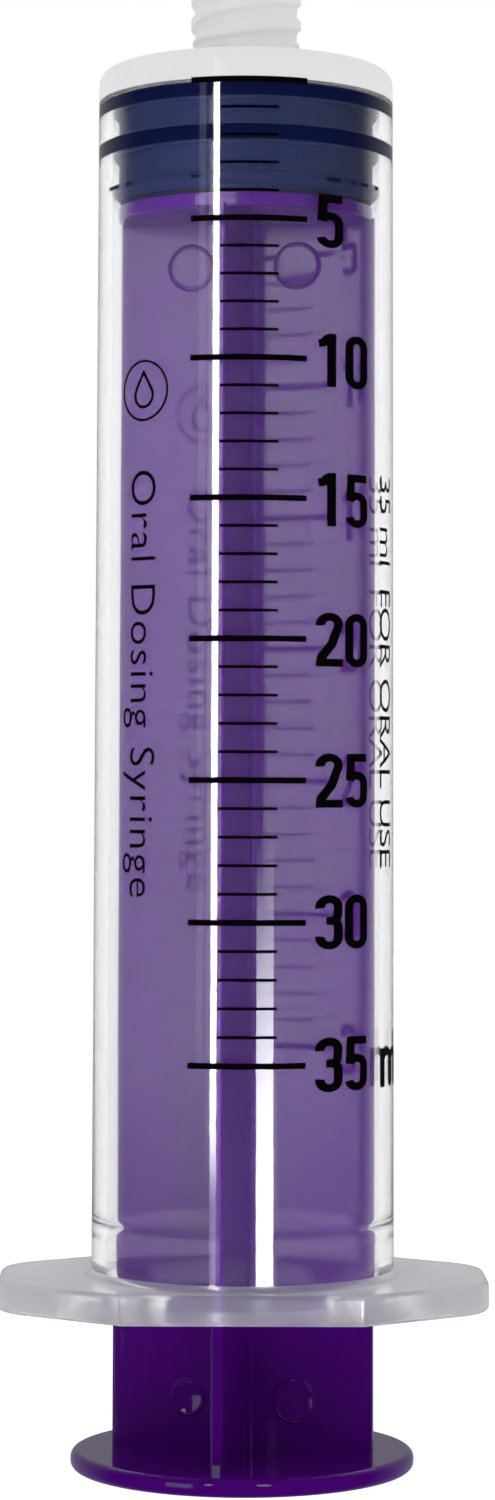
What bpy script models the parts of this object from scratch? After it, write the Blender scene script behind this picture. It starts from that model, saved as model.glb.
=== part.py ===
"""Oral syringe, 35 ml: a moulded barrel, a rubber stopper and a ribbed plunger rod.

The syringe stands on its thumb disc with the tip up: +Z runs along the axis towards the tip,
X runs along the finger flange, and the origin is at the centre of the thumb disc's underside.
Sizes are in millimetres and are turned into metres where a mesh is made.
"""
import math

import bmesh
import bpy
from mathutils import Matrix, Vector

MM = 0.001
FACETS = 48                     # sides of every turned surface

ZERO_MARK = 116.8               # height of the 0 ml line, level with the stopper's first ring

# Barrel
BORE_RADIUS = 11.65
BARREL_RADIUS_TOP = 12.80       # the outside is drafted slightly towards the flange
BARREL_RADIUS_BASE = 12.90
END_WALL_INNER = ZERO_MARK + 0.35
END_WALL_OUTER = ZERO_MARK + 2.95
SHOULDER_ROUNDING = 1.2
BEAD_HEIGHT = 20.3              # inner ridge that stops the stopper from leaving the barrel
BEAD_RADIUS = 11.42
BEAD_HALF_WIDTH = 0.7
BEAD_CREST_HALF_WIDTH = 0.2
MOUTH_RADIUS = 12.05
MOUTH_DEPTH = 0.9

# Finger flange
FLANGE_BOTTOM = 13.65
FLANGE_TOP = 16.20
FLANGE_HALF_LENGTH = 20.8
FLANGE_HALF_DEPTH = 14.0
FLANGE_FRONT_HALF_WIDTH = 10.0  # half the straight edge in front of the barrel
FLANGE_END_HALF_DEPTH = 6.3     # where the slanted edges would meet the ends
FLANGE_CORNER_RADIUS = 6.0
FLANGE_EDGE_BEVEL = 0.45
FLANGE_FILLET = 0.6

# Tip: a female connector with a two-start outer thread
TIP_TOP = END_WALL_OUTER + 10.2
TIP_CORE_RADIUS = 4.30
TIP_ROOT_RADIUS = 5.40
TIP_ROOT_HEIGHT = 1.1
TIP_RIM_BEVEL = 0.35
SOCKET_RADIUS_MOUTH = 2.95
SOCKET_RADIUS_FLOOR = 2.90
SOCKET_DEPTH = 8.2
LUMEN_RADIUS = 1.5
THREAD_RADIUS = 4.80
THREAD_LEAD = 4.4
THREAD_STARTS = 2
THREAD_TURNS = 1.35
THREAD_START_HEIGHT = END_WALL_OUTER + 2.4
THREAD_FOOT_WIDTH = 1.15
THREAD_CREST_WIDTH = 0.50
THREAD_START_ANGLE = math.radians(207)
THREAD_STEPS_PER_TURN = 28
THREAD_RUN_OUT = 9              # steps over which a ridge grows or dies away
THREAD_END_RADIUS = TIP_CORE_RADIUS + 0.08
THREAD_SUNK = 0.4               # how far a ridge's foot lies inside the core

# Stopper, with heights measured down from the 0 ml line
STOPPER_TOP = -0.05
RING_RADIUS = 11.60
GROOVE_RADIUS = 11.05
RING_BANDS = ((0.0, 1.24), (3.64, 4.91))
LIP_CENTRE = 8.0
LIP_HALF_WIDTH = 0.15
STOPPER_LENGTH = 8.95
STOPPER_BASE_RADIUS = 11.0
RING_SHOULDER = 0.25            # height over which a ring falls back to the groove
RING_LEAD_IN = 0.1
RING_EDGE_ROUNDING = 0.4

# Snap-fit stud of the rod and the cavity that holds it, heights measured the same way
CAVITY_TOP = 2.6
CAVITY_UNDERCUT = 6.4
CAVITY_UNDERCUT_HEIGHT = 0.9
CAVITY_RADIUS = 7.9
CAVITY_TOP_RADIUS = 6.2
CAVITY_THROAT_RADIUS = 5.6
CAVITY_THROAT_DEPTH = 0.6       # below the undercut
CAVITY_MOUTH_BEVEL = 0.3
STUD_GAP = 0.4
STUD_TOP_RADIUS = 5.6
STUD_NECK_DEPTH = 0.2           # below the cavity's undercut

# Plunger rod
HEAD_DISC_RADIUS = 11.05
HEAD_DISC_TOP = STOPPER_LENGTH + 0.3
HEAD_DISC_BOTTOM = HEAD_DISC_TOP + 1.25
HEAD_DISC_BEVEL = 0.2
RIB_RADIUS = 11.25
RIB_ROOT_THICKNESS = 1.5
RIB_EDGE_THICKNESS = 1.0
RIB_OVERLAP = 0.5               # how far the ribs run into the discs at their ends
ROD_TURN = math.radians(-11)    # how far the rod is turned in the stopper at rest
THUMB_RADIUS = 14.58
THUMB_THICKNESS = 1.55
THUMB_ROUNDING = 0.6
PAD_OFFSET = 4.64               # round ejector pads, on the front faces of the side ribs
PAD_HEIGHTS = (5.7, 102.6)
PAD_RADIUS = 1.7
PAD_PROUD = 0.2
PAD_FACETS = 24

ARC_STEPS = 5


def clear_scene():
    for item in list(bpy.data.objects):
        bpy.data.objects.remove(item, do_unlink=True)


def plastic(name, colour, roughness):
    material = bpy.data.materials.new(name)
    material.use_nodes = True
    shader = material.node_tree.nodes["Principled BSDF"]
    shader.inputs["Base Color"].default_value = (*colour, 1.0)
    shader.inputs["Roughness"].default_value = roughness
    shader.inputs["Metallic"].default_value = 0.0
    material.diffuse_color = (*colour, 1.0)
    return material


def new_object(name, mesh_builder, material=None):
    """Make an object from a bmesh in millimetres."""
    bmesh.ops.remove_doubles(mesh_builder, verts=mesh_builder.verts, dist=1e-5)
    bmesh.ops.recalc_face_normals(mesh_builder, faces=mesh_builder.faces)
    bmesh.ops.scale(mesh_builder, vec=(MM, MM, MM), verts=mesh_builder.verts)
    mesh = bpy.data.meshes.new(name)
    mesh_builder.to_mesh(mesh)
    mesh_builder.free()
    item = bpy.data.objects.new(name, mesh)
    bpy.context.scene.collection.objects.link(item)
    if material:
        mesh.materials.append(material)
    mesh.shade_smooth()
    mesh.set_sharp_from_angle(angle=math.radians(30))
    return item


def helper(name, mesh_builder):
    """Make a shape that only adds to or cuts another object."""
    item = new_object(name, mesh_builder)
    item.hide_render = True
    item.display_type = "WIRE"
    return item


def combine(target, tool, operation):
    modifier = target.modifiers.new(f"{operation.lower()} {tool.name}", "BOOLEAN")
    modifier.operation = operation
    modifier.solver = "EXACT"
    modifier.object = tool


def arc(centre_radius, centre_height, radius, start_degrees, end_degrees, steps=ARC_STEPS):
    """Points (r, z) of a round stretch in a turned outline."""
    points = []
    for step in range(steps + 1):
        angle = math.radians(start_degrees + (end_degrees - start_degrees) * step / steps)
        points.append((centre_radius + radius * math.cos(angle),
                       centre_height + radius * math.sin(angle)))
    return points


def turned(outline, closed):
    """Spin an outline of (r, z) points about Z; an open outline starts and ends on the axis."""
    builder = bmesh.new()
    points = [builder.verts.new((radius, 0.0, height)) for radius, height in outline]
    edges = [builder.edges.new(pair) for pair in zip(points, points[1:])]
    if closed:
        edges.append(builder.edges.new((points[-1], points[0])))
    bmesh.ops.spin(builder, geom=points + edges, cent=(0, 0, 0), axis=(0, 0, 1),
                   angle=math.tau, steps=FACETS, use_merge=True)
    return builder


def extruded(outline, bottom, top):
    """A plate from an outline of (x, y) points."""
    builder = bmesh.new()
    points = [builder.verts.new((x, y, bottom)) for x, y in outline]
    face = builder.faces.new(points)
    raised = bmesh.ops.extrude_face_region(builder, geom=[face])["geom"]
    bmesh.ops.translate(builder, vec=(0, 0, top - bottom),
                        verts=[part for part in raised if isinstance(part, bmesh.types.BMVert)])
    return builder


def below_zero(depth):
    """Height of a point that lies this far below the 0 ml line."""
    return ZERO_MARK - depth


def barrel_outside():
    foot = BARREL_RADIUS_BASE + FLANGE_FILLET
    hidden = (FLANGE_TOP - FLANGE_BOTTOM) / 10      # how far the tube's own ends lie inside the flange
    outline = [(0.0, FLANGE_BOTTOM + hidden), (BARREL_RADIUS_BASE, FLANGE_BOTTOM + hidden)]
    outline += [(foot, FLANGE_BOTTOM + 2 * hidden), (foot, FLANGE_TOP - hidden)]
    outline += arc(foot, FLANGE_TOP + FLANGE_FILLET, FLANGE_FILLET, 270, 180)
    outline += arc(BARREL_RADIUS_TOP - SHOULDER_ROUNDING, END_WALL_OUTER - SHOULDER_ROUNDING,
                   SHOULDER_ROUNDING, 0, 90)
    root = TIP_ROOT_RADIUS - TIP_CORE_RADIUS
    outline += arc(TIP_CORE_RADIUS + root, END_WALL_OUTER + TIP_ROOT_HEIGHT, root, 270, 180)
    outline += [(TIP_CORE_RADIUS, TIP_TOP - TIP_RIM_BEVEL), (TIP_CORE_RADIUS - TIP_RIM_BEVEL, TIP_TOP)]
    outline.append((0.0, TIP_TOP))
    return turned(outline, closed=False)


def barrel_inside():
    """The empty space: mouth, bore with its bead, lumen and socket."""
    beyond = 1.0                # both ends run past the solid, along the slope of the mouth and the socket
    mouth_slope = (MOUTH_RADIUS - BORE_RADIUS) / MOUTH_DEPTH
    socket_slope = (SOCKET_RADIUS_MOUTH - SOCKET_RADIUS_FLOOR) / SOCKET_DEPTH
    socket_floor = TIP_TOP - SOCKET_DEPTH
    outline = [(0.0, FLANGE_BOTTOM - beyond), (MOUTH_RADIUS + mouth_slope * beyond, FLANGE_BOTTOM - beyond)]
    outline.append((BORE_RADIUS, FLANGE_BOTTOM + MOUTH_DEPTH))
    outline.append((BORE_RADIUS, BEAD_HEIGHT - BEAD_HALF_WIDTH))
    outline.append((BEAD_RADIUS, BEAD_HEIGHT - BEAD_CREST_HALF_WIDTH))
    outline.append((BEAD_RADIUS, BEAD_HEIGHT + BEAD_CREST_HALF_WIDTH))
    outline.append((BORE_RADIUS, BEAD_HEIGHT + BEAD_HALF_WIDTH))
    outline += [(BORE_RADIUS, END_WALL_INNER), (LUMEN_RADIUS, END_WALL_INNER)]
    outline += [(LUMEN_RADIUS, socket_floor), (SOCKET_RADIUS_FLOOR, socket_floor)]
    outline.append((SOCKET_RADIUS_MOUTH + socket_slope * beyond, TIP_TOP + beyond))
    outline.append((0.0, TIP_TOP + beyond))
    return turned(outline, closed=False)


def flange_outline():
    """One quarter is worked out, with its rounded corner, and mirrored to the other three."""
    slant_angle = math.atan2(FLANGE_HALF_DEPTH - FLANGE_END_HALF_DEPTH,
                             FLANGE_HALF_LENGTH - FLANGE_FRONT_HALF_WIDTH)
    turn = math.pi / 2 - slant_angle
    setback = FLANGE_CORNER_RADIUS * math.tan(turn / 2)
    centre = Vector((FLANGE_HALF_LENGTH - FLANGE_CORNER_RADIUS, FLANGE_END_HALF_DEPTH - setback))
    quarter = []
    for step in range(2 * ARC_STEPS + 1):
        angle = turn * step / (2 * ARC_STEPS)
        quarter.append(centre + FLANGE_CORNER_RADIUS * Vector((math.cos(angle), math.sin(angle))))
    quarter.append(Vector((FLANGE_FRONT_HALF_WIDTH, FLANGE_HALF_DEPTH)))
    upper = quarter + [Vector((-point.x, point.y)) for point in reversed(quarter)]
    return upper + [-point for point in upper]


def flange_plate():
    builder = extruded(flange_outline(), FLANGE_BOTTOM, FLANGE_TOP)
    rims = [edge for edge in builder.edges if abs(edge.verts[0].co.z - edge.verts[1].co.z) < 1e-4]
    bmesh.ops.bevel(builder, geom=rims, offset=FLANGE_EDGE_BEVEL, segments=2, profile=0.5,
                    affect="EDGES")
    return builder


def thread_ridges():
    """Helical ridges that rise as they turn anticlockwise seen from the tip: a right-hand thread."""
    builder = bmesh.new()
    steps = int(THREAD_TURNS * THREAD_STEPS_PER_TURN)
    for start in range(THREAD_STARTS):
        first = THREAD_START_ANGLE + math.tau * start / THREAD_STARTS
        sections = []
        for step in range(steps + 1):
            turns = THREAD_TURNS * step / steps
            angle = first + math.tau * turns
            height = THREAD_START_HEIGHT + THREAD_LEAD * turns
            fade = min(1.0, step / THREAD_RUN_OUT, (steps - step) / THREAD_RUN_OUT)
            crest = THREAD_END_RADIUS + (THREAD_RADIUS - THREAD_END_RADIUS) * fade
            foot = TIP_CORE_RADIUS - THREAD_SUNK
            corners = ((foot, -THREAD_FOOT_WIDTH / 2), (crest, -THREAD_CREST_WIDTH / 2),
                       (crest, THREAD_CREST_WIDTH / 2), (foot, THREAD_FOOT_WIDTH / 2))
            sections.append([builder.verts.new((radius * math.cos(angle), radius * math.sin(angle),
                                                height + offset)) for radius, offset in corners])
        for lower, upper in zip(sections, sections[1:]):
            for side in range(4):
                beside = (side + 1) % 4
                builder.faces.new((lower[side], lower[beside], upper[beside], upper[side]))
        builder.faces.new(sections[0])
        builder.faces.new(reversed(sections[-1]))
    return builder


def make_barrel():
    clear_plastic = plastic("clear polypropylene", (0.86, 0.87, 0.88), 0.25)
    barrel = new_object("barrel", barrel_outside(), clear_plastic)
    combine(barrel, helper("flange shape", flange_plate()), "UNION")
    combine(barrel, helper("thread shape", thread_ridges()), "UNION")
    combine(barrel, helper("bore shape", barrel_inside()), "DIFFERENCE")
    return barrel


def stopper_outline():
    outline = [(0.0, below_zero(STOPPER_TOP)), (RING_RADIUS - RING_EDGE_ROUNDING, below_zero(STOPPER_TOP))]
    for upper, lower in RING_BANDS:
        if upper > 0:
            outline.append((GROOVE_RADIUS, below_zero(upper - RING_SHOULDER)))
        outline += [(RING_RADIUS, below_zero(upper + RING_LEAD_IN)), (RING_RADIUS, below_zero(lower))]
        outline.append((GROOVE_RADIUS, below_zero(lower + RING_SHOULDER)))
    outline.append((GROOVE_RADIUS, below_zero(LIP_CENTRE - LIP_HALF_WIDTH - RING_SHOULDER)))
    outline.append((RING_RADIUS, below_zero(LIP_CENTRE - LIP_HALF_WIDTH)))
    outline.append((RING_RADIUS, below_zero(LIP_CENTRE + LIP_HALF_WIDTH)))
    outline.append((STOPPER_BASE_RADIUS, below_zero(STOPPER_LENGTH)))
    outline.append((CAVITY_THROAT_RADIUS + CAVITY_MOUTH_BEVEL, below_zero(STOPPER_LENGTH)))
    outline.append((CAVITY_THROAT_RADIUS, below_zero(STOPPER_LENGTH - CAVITY_MOUTH_BEVEL)))
    outline.append((CAVITY_THROAT_RADIUS, below_zero(CAVITY_UNDERCUT + CAVITY_THROAT_DEPTH)))
    outline.append((CAVITY_RADIUS, below_zero(CAVITY_UNDERCUT)))
    outline.append((CAVITY_RADIUS, below_zero(CAVITY_UNDERCUT - CAVITY_UNDERCUT_HEIGHT)))
    outline += [(CAVITY_TOP_RADIUS, below_zero(CAVITY_TOP)), (0.0, below_zero(CAVITY_TOP))]
    return outline


def make_stopper():
    rubber = plastic("stopper rubber", (0.012, 0.016, 0.07), 0.5)
    return new_object("stopper", turned(stopper_outline(), closed=False), rubber)


def rod_head_outline():
    """The disc that backs the stopper, its neck and the barbed stud inside the stopper."""
    neck = CAVITY_THROAT_RADIUS - STUD_GAP
    barb = CAVITY_RADIUS - STUD_GAP
    rim = HEAD_DISC_RADIUS - HEAD_DISC_BEVEL
    stud_top = CAVITY_TOP + STUD_GAP
    outline = [(0.0, below_zero(stud_top)), (STUD_TOP_RADIUS, below_zero(stud_top))]
    outline.append((barb, below_zero(CAVITY_UNDERCUT - CAVITY_UNDERCUT_HEIGHT)))
    outline.append((barb, below_zero(CAVITY_UNDERCUT - STUD_GAP)))
    outline.append((neck, below_zero(CAVITY_UNDERCUT + STUD_NECK_DEPTH)))
    outline += [(neck, below_zero(HEAD_DISC_TOP)), (rim, below_zero(HEAD_DISC_TOP))]
    outline.append((HEAD_DISC_RADIUS, below_zero(HEAD_DISC_TOP + HEAD_DISC_BEVEL)))
    outline.append((HEAD_DISC_RADIUS, below_zero(HEAD_DISC_BOTTOM - HEAD_DISC_BEVEL)))
    outline += [(rim, below_zero(HEAD_DISC_BOTTOM)), (0.0, below_zero(HEAD_DISC_BOTTOM))]
    return outline


def thumb_outline():
    rim = THUMB_RADIUS - THUMB_ROUNDING
    outline = [(0.0, THUMB_THICKNESS)]
    outline += arc(rim, THUMB_THICKNESS - THUMB_ROUNDING, THUMB_ROUNDING, 90, 0, 3)
    outline += arc(rim, THUMB_ROUNDING, THUMB_ROUNDING, 0, -90, 3)
    outline.append((0.0, 0.0))
    return outline


def rib_pair():
    """Two opposite ribs, thicker at the root than at the edge, as one plate along X."""
    half_root = RIB_ROOT_THICKNESS / 2
    half_edge = RIB_EDGE_THICKNESS / 2
    section = [(RIB_RADIUS, half_edge), (0.0, half_root), (-RIB_RADIUS, half_edge)]
    section += [(-x, -y) for x, y in section]
    return extruded(section, THUMB_THICKNESS - RIB_OVERLAP, below_zero(HEAD_DISC_BOTTOM - RIB_OVERLAP))


def ejector_pads():
    """Four low round pads, standing on the faces of the ribs that lie along X."""
    builder = bmesh.new()
    upright = Matrix.Rotation(math.pi / 2, 4, "X")
    for side in (-1, 1):
        for height in PAD_HEIGHTS:
            share = PAD_OFFSET / RIB_RADIUS
            surface = (RIB_ROOT_THICKNESS * (1 - share) + RIB_EDGE_THICKNESS * share) / 2
            depth = surface + PAD_PROUD
            place = Matrix.Translation((side * PAD_OFFSET, -depth / 2, height))
            bmesh.ops.create_cone(builder, cap_ends=True, segments=PAD_FACETS, radius1=PAD_RADIUS,
                                  radius2=PAD_RADIUS, depth=depth, matrix=place @ upright)
    return builder


def make_plunger_rod():
    purple = plastic("purple polypropylene", (0.045, 0.0, 0.13), 0.2)
    rod = new_object("plunger_rod", turned(rod_head_outline(), closed=False), purple)
    across = rib_pair()
    quarter_turn = Matrix.Rotation(math.pi / 2, 3, "Z")
    bmesh.ops.rotate(across, cent=(0, 0, 0), matrix=quarter_turn, verts=across.verts)
    shapes = [helper("thumb disc shape", turned(thumb_outline(), closed=False)),
              helper("side ribs shape", rib_pair()),
              helper("cross ribs shape", across),
              helper("ejector pads shape", ejector_pads())]
    for shape in shapes:
        combine(rod, shape, "UNION")
        shape.parent = rod
    rod.rotation_euler.z = ROD_TURN
    return rod


clear_scene()
make_barrel()
make_stopper()
make_plunger_rod()
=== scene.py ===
import math
import bmesh
import bpy
from mathutils import Matrix, Vector


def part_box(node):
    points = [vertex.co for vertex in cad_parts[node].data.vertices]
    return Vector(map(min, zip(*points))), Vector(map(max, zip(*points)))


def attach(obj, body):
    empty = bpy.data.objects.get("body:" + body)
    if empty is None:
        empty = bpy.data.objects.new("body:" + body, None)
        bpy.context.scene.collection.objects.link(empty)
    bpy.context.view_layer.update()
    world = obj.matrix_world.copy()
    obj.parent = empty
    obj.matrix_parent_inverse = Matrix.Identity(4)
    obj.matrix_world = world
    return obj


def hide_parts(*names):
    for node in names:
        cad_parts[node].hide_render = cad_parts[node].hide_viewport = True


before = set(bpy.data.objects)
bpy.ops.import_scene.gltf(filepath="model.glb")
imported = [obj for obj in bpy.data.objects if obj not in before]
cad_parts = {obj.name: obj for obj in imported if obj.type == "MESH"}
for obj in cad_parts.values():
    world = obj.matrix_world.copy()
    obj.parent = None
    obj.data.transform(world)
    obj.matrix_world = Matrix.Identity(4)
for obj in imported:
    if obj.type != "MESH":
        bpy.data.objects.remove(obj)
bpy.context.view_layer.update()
print("frame loaded:", ", ".join(sorted(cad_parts)))

mm = 0.001
barrelLow, barrelHigh = (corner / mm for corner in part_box("barrel"))
stopperTop = (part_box("stopper")[1] / mm).z
zeroMark = stopperTop - 0.05  # level with the top of the stopper's first ring
scene = bpy.context.scene


def addNode(tree, kind, **values):
    node = tree.nodes.new(kind)
    for name, value in values.items():
        setattr(node, name, value)
    return node


def feed(tree, node, inputs):
    for key, value in inputs.items():
        socket = node.inputs[key]
        if isinstance(value, bpy.types.NodeSocket):
            tree.links.new(value, socket)
        else:
            socket.default_value = value


def outputOf(tree, kind, inputs, **values):
    node = addNode(tree, kind, **values)
    feed(tree, node, inputs)
    return node.outputs[0]


def mathNode(tree, operation, *inputs):
    return outputOf(tree, "ShaderNodeMath", dict(enumerate(inputs)), operation=operation)


def plus(tree, first, second):
    return mathNode(tree, "ADD", first, second)


def minus(tree, first, second):
    return mathNode(tree, "SUBTRACT", first, second)


def times(tree, first, second):
    return mathNode(tree, "MULTIPLY", first, second)


def over(tree, first, second):
    return mathNode(tree, "DIVIDE", first, second)


def smoothRamp(tree, value, start, end, low=0.0, high=1.0):
    limits = {"Value": value, "From Min": start, "From Max": end, "To Min": low, "To Max": high}
    return outputOf(tree, "ShaderNodeMapRange", limits, interpolation_type="SMOOTHSTEP")


def partsOf(tree, vector):
    node = addNode(tree, "ShaderNodeSeparateXYZ")
    feed(tree, node, {0: vector})
    return node.outputs


def vectorOf(tree, x=0.0, y=0.0, z=0.0):
    return outputOf(tree, "ShaderNodeCombineXYZ", {0: x, 1: y, 2: z})


def newMaterial(name):
    material = bpy.data.materials.new(name)
    material.use_nodes = True
    tree = material.node_tree
    return material, tree, tree.nodes["Principled BSDF"]


def objectPlace(tree):
    return addNode(tree, "ShaderNodeTexCoord").outputs["Object"]


def objectNoise(tree, scale, detail=3.0, stretch=(1.0, 1.0, 1.0)):
    place = outputOf(tree, "ShaderNodeMapping", {"Vector": objectPlace(tree), "Scale": stretch})
    values = {"Vector": place, "Scale": scale, "Detail": detail, "Roughness": 0.55}
    return outputOf(tree, "ShaderNodeTexNoise", values)


def spread(tree, value, low, high):
    limits = {"Value": value, "From Min": 0.3, "From Max": 0.7, "To Min": low, "To Max": high}
    return outputOf(tree, "ShaderNodeMapRange", limits)


def blendColours(tree, factor, first, second):
    node = addNode(tree, "ShaderNodeMix", data_type="RGBA")
    feed(tree, node, {0: factor, 6: (*first, 1.0), 7: (*second, 1.0)})
    return node.outputs[2]


def addBump(tree, height, strength, distance, normal=None):
    values = {"Height": height, "Strength": strength, "Distance": distance}
    if normal is not None:
        values["Normal"] = normal
    return outputOf(tree, "ShaderNodeBump", values)


# the barrel's four finishes; through and back are the shares of light that its milk scatters
barrelFinishes = {
    # the foot colours are painted shade: they darken the clear wall and the bore towards the flange
    "clearPolypropylene": {"roughness": 0.04, "tint": (0.997, 0.996, 0.996),
                           "paintedFootShade": (0.925, 0.923, 0.925)},
    "boreHaze": {"roughness": 0.05, "tint": (0.997, 0.996, 0.995), "paintedFootShade": (0.925, 0.92, 0.93),
                 "through": 0.03, "back": 0.042, "milkTint": (0.66, 0.74, 1.0)},
    "milkyShoulder": {"roughness": 0.35, "tint": (0.95, 0.948, 0.952),
                      "through": 0.5, "back": 0.78, "milkTint": (0.87, 0.865, 0.88)},
    "milkyFlange": {"roughness": 0.22, "tint": (0.975, 0.97, 0.985),
                    "through": 0.24, "back": 0.085, "milkTint": (0.96, 0.94, 0.99)},
}
plasticIor = 1.49
footShadeFade = 85.0  # the painted shade at the tube's foot fades out this far above the foot
skinFrom = 0.1  # plastic that lets more light through its milk than this has a glossy skin


def clearPolypropylene(name, roughness, tint, through=0.0, back=0.0, milkTint=None, paintedFootShade=None):
    material, tree, shader = newMaterial(name)
    cloud = objectNoise(tree, 60.0, 2.0)
    flow = objectNoise(tree, 400.0, 3.0, (1.0, 1.0, 0.05))
    orange = objectNoise(tree, 2500.0, 2.0)
    colour = blendColours(tree, cloud, tint, tuple(min(1.0, 1.01 * part) for part in tint))
    # painted shade: the colour darkens towards the tube's foot and fades out upwards
    if paintedFootShade is not None:
        height = partsOf(tree, objectPlace(tree))[2]
        fade = addNode(tree, "ShaderNodeMix", data_type="RGBA")
        feed(tree, fade, {0: smoothRamp(tree, height, barrelLow.z * mm, (barrelLow.z + footShadeFade) * mm),
                          6: (*paintedFootShade, 1.0), 7: colour})
        colour = fade.outputs[2]
    feed(tree, shader, {
        "Base Color": colour,
        "Roughness": spread(tree, cloud, roughness * 0.8, roughness * 1.3),
        "IOR": plasticIor,
        "Transmission Weight": 1.0,
        "Coat Weight": 1.0 if through > skinFrom else 0.0,
        "Coat Roughness": 0.06,
        "Coat IOR": 1.3,
        "Normal": addBump(tree, flow, 0.05, 0.0001, addBump(tree, orange, 0.02, 0.00003)),
    })
    surface = shader.outputs[0]
    for kind, share in (("ShaderNodeBsdfTranslucent", through), ("ShaderNodeBsdfDiffuse", back)):
        if share > 0:
            darker = tuple(0.96 * part for part in milkTint)
            scatter = outputOf(tree, kind, {"Color": blendColours(tree, cloud, milkTint, darker)})
            surface = outputOf(tree, "ShaderNodeMixShader", {0: share, 1: surface, 2: scatter})
    tree.links.new(surface, tree.nodes["Material Output"].inputs["Surface"])
    return material


rodFinish = {"dark": (0.044, 0.0002, 0.118), "light": (0.052, 0.0003, 0.138), "roughness": (0.055, 0.09)}


def purplePolypropylene():
    material, tree, shader = newMaterial("purplePolypropylene")
    cloud = objectNoise(tree, 180.0, 4.0)
    flow = objectNoise(tree, 900.0, 3.0, (1.0, 1.0, 0.08))
    grain = objectNoise(tree, 9000.0, 2.0)
    feed(tree, shader, {
        "Base Color": blendColours(tree, cloud, rodFinish["dark"], rodFinish["light"]),
        "Roughness": spread(tree, flow, *rodFinish["roughness"]),
        "IOR": plasticIor,
        "Normal": addBump(tree, flow, 0.08, 0.00008, addBump(tree, grain, 0.10, 0.00001)),
    })
    return material


rubberFinish = {"dark": (0.003, 0.006, 0.042), "light": (0.0042, 0.0084, 0.052), "roughness": (0.38, 0.52)}


def stopperRubber():
    material, tree, shader = newMaterial("stopperRubber")
    cloud = objectNoise(tree, 300.0, 3.0)
    grain = objectNoise(tree, 12000.0, 2.0)
    feed(tree, shader, {
        "Base Color": blendColours(tree, cloud, rubberFinish["dark"], rubberFinish["light"]),
        "Roughness": spread(tree, cloud, *rubberFinish["roughness"]),
        "Specular IOR Level": 0.02,
        "Normal": addBump(tree, grain, 0.06, 0.000005),
    })
    return material


inkFinish = {"dark": (0.0007, 0.0005, 0.0015), "light": (0.002, 0.0015, 0.003), "roughness": (0.42, 0.6)}


def scaleInk():
    material, tree, shader = newMaterial("scaleInk")
    grain = objectNoise(tree, 6000.0, 3.0)
    feed(tree, shader, {
        "Base Color": blendColours(tree, grain, inkFinish["dark"], inkFinish["light"]),
        "Roughness": spread(tree, grain, *inkFinish["roughness"]),
        "Specular IOR Level": 0.02,
        "Normal": addBump(tree, grain, 0.1, 0.000005),
    })
    return material


clearPlastic, hazyBore, milkyPlastic, flangePlastic = (
    clearPolypropylene(name, **values) for name, values in barrelFinishes.items())
purplePlastic = purplePolypropylene()
rubber = stopperRubber()
ink = scaleInk()
print("finishes made")


def newObject(name, data):
    thing = bpy.data.objects.new(name, data)
    scene.collection.objects.link(thing)
    return thing


# all sizes are in millimetres until a mesh is finished
def finishMesh(name, builder, material, sharpAngle=35.0):
    bmesh.ops.remove_doubles(builder, verts=builder.verts, dist=1e-5)
    bmesh.ops.recalc_face_normals(builder, faces=builder.faces)
    bmesh.ops.scale(builder, vec=(mm, mm, mm), verts=builder.verts)
    mesh = bpy.data.meshes.new(name)
    builder.to_mesh(mesh)
    builder.free()
    mesh.materials.append(material)
    mesh.shade_smooth()
    mesh.set_sharp_from_angle(angle=math.radians(sharpAngle))
    return newObject(name, mesh)


# the piece as its modifiers leave it
def evaluatedMesh(piece):
    bpy.context.view_layer.update()
    graph = bpy.context.evaluated_depsgraph_get()
    return bpy.data.meshes.new_from_object(piece.evaluated_get(graph))


def bakeModifiers(piece):
    mesh = evaluatedMesh(piece)
    piece.modifiers.clear()
    piece.data = mesh
    return piece


def arc(centre, radius, start, end, steps):
    points = []
    for step in range(steps + 1):
        angle = math.radians(start + (end - start) * step / steps)
        points.append((centre[0] + radius * math.cos(angle), centre[1] + radius * math.sin(angle)))
    return points


# rings of equal length, skinned; closed joins the last ring to the first, or else both ends are capped
def loft(rings, closed):
    builder = bmesh.new()
    made = [[builder.verts.new(point) for point in ring] for ring in rings]
    pairs = list(zip(made, made[1:]))
    if closed:
        pairs.append((made[-1], made[0]))
    for lower, upper in pairs:
        for index in range(len(lower)):
            beside = (index + 1) % len(lower)
            builder.faces.new((lower[index], lower[beside], upper[beside], upper[index]))
    if not closed:
        builder.faces.new(made[0])
        builder.faces.new(reversed(made[-1]))
    return builder


def turnedRings(outline, columns):
    rings = []
    for radius, height in outline:
        rings.append([(radius * math.cos(a), radius * math.sin(a), height) for a in columns])
    return rings


def turnedSolid(outline, columns):
    return loft(turnedRings(outline, columns), closed=False)


def evenAngles(count):
    return [math.tau * index / count for index in range(count)]


# the barrel is one closed shell, lofted round the axis with its flange
barrelSizes = {
    "radiusTop": 12.80,
    "radiusBase": 12.90,
    "boreRadius": 11.65,
    "endWall": 2.60,
    "shoulderRounding": 1.2,
    "beadHeight": 20.3,
    "beadHalfLength": 1.1,
    "beadProud": 0.16,
    "mouthRadius": 12.05,
    "mouthDepth": 0.9,
    "mouthChamfer": 0.08,
    "boreCorner": 0.35,
    "flangeThickness": 2.55,
    "flangeHalfDepth": 14.0,
    "flangeFrontHalf": 10.0,
    "flangeEndHalf": 6.3,
    "flangeCorner": 6.0,
    "flangeFrontCorner": 0.8,
    "flangeBevel": 0.45,
    "flangeFillet": 0.6,
    "tubeFoot": 1.2,
    "tipLength": 10.2,
    "tipCore": 4.45,
    "tipRoot": 0.95,
    "tipRim": 0.35,
    "tipRowSpacing": 0.09,
    "socketMouth": 2.95,
    "socketEdge": 0.3,
    "socketFloor": 2.90,
    "socketCorner": 0.25,
    "socketDepth": 8.2,
    "lumen": 1.5,
    "lumenEdge": 0.15,
    "lumenOutlet": 0.2,
}
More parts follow.
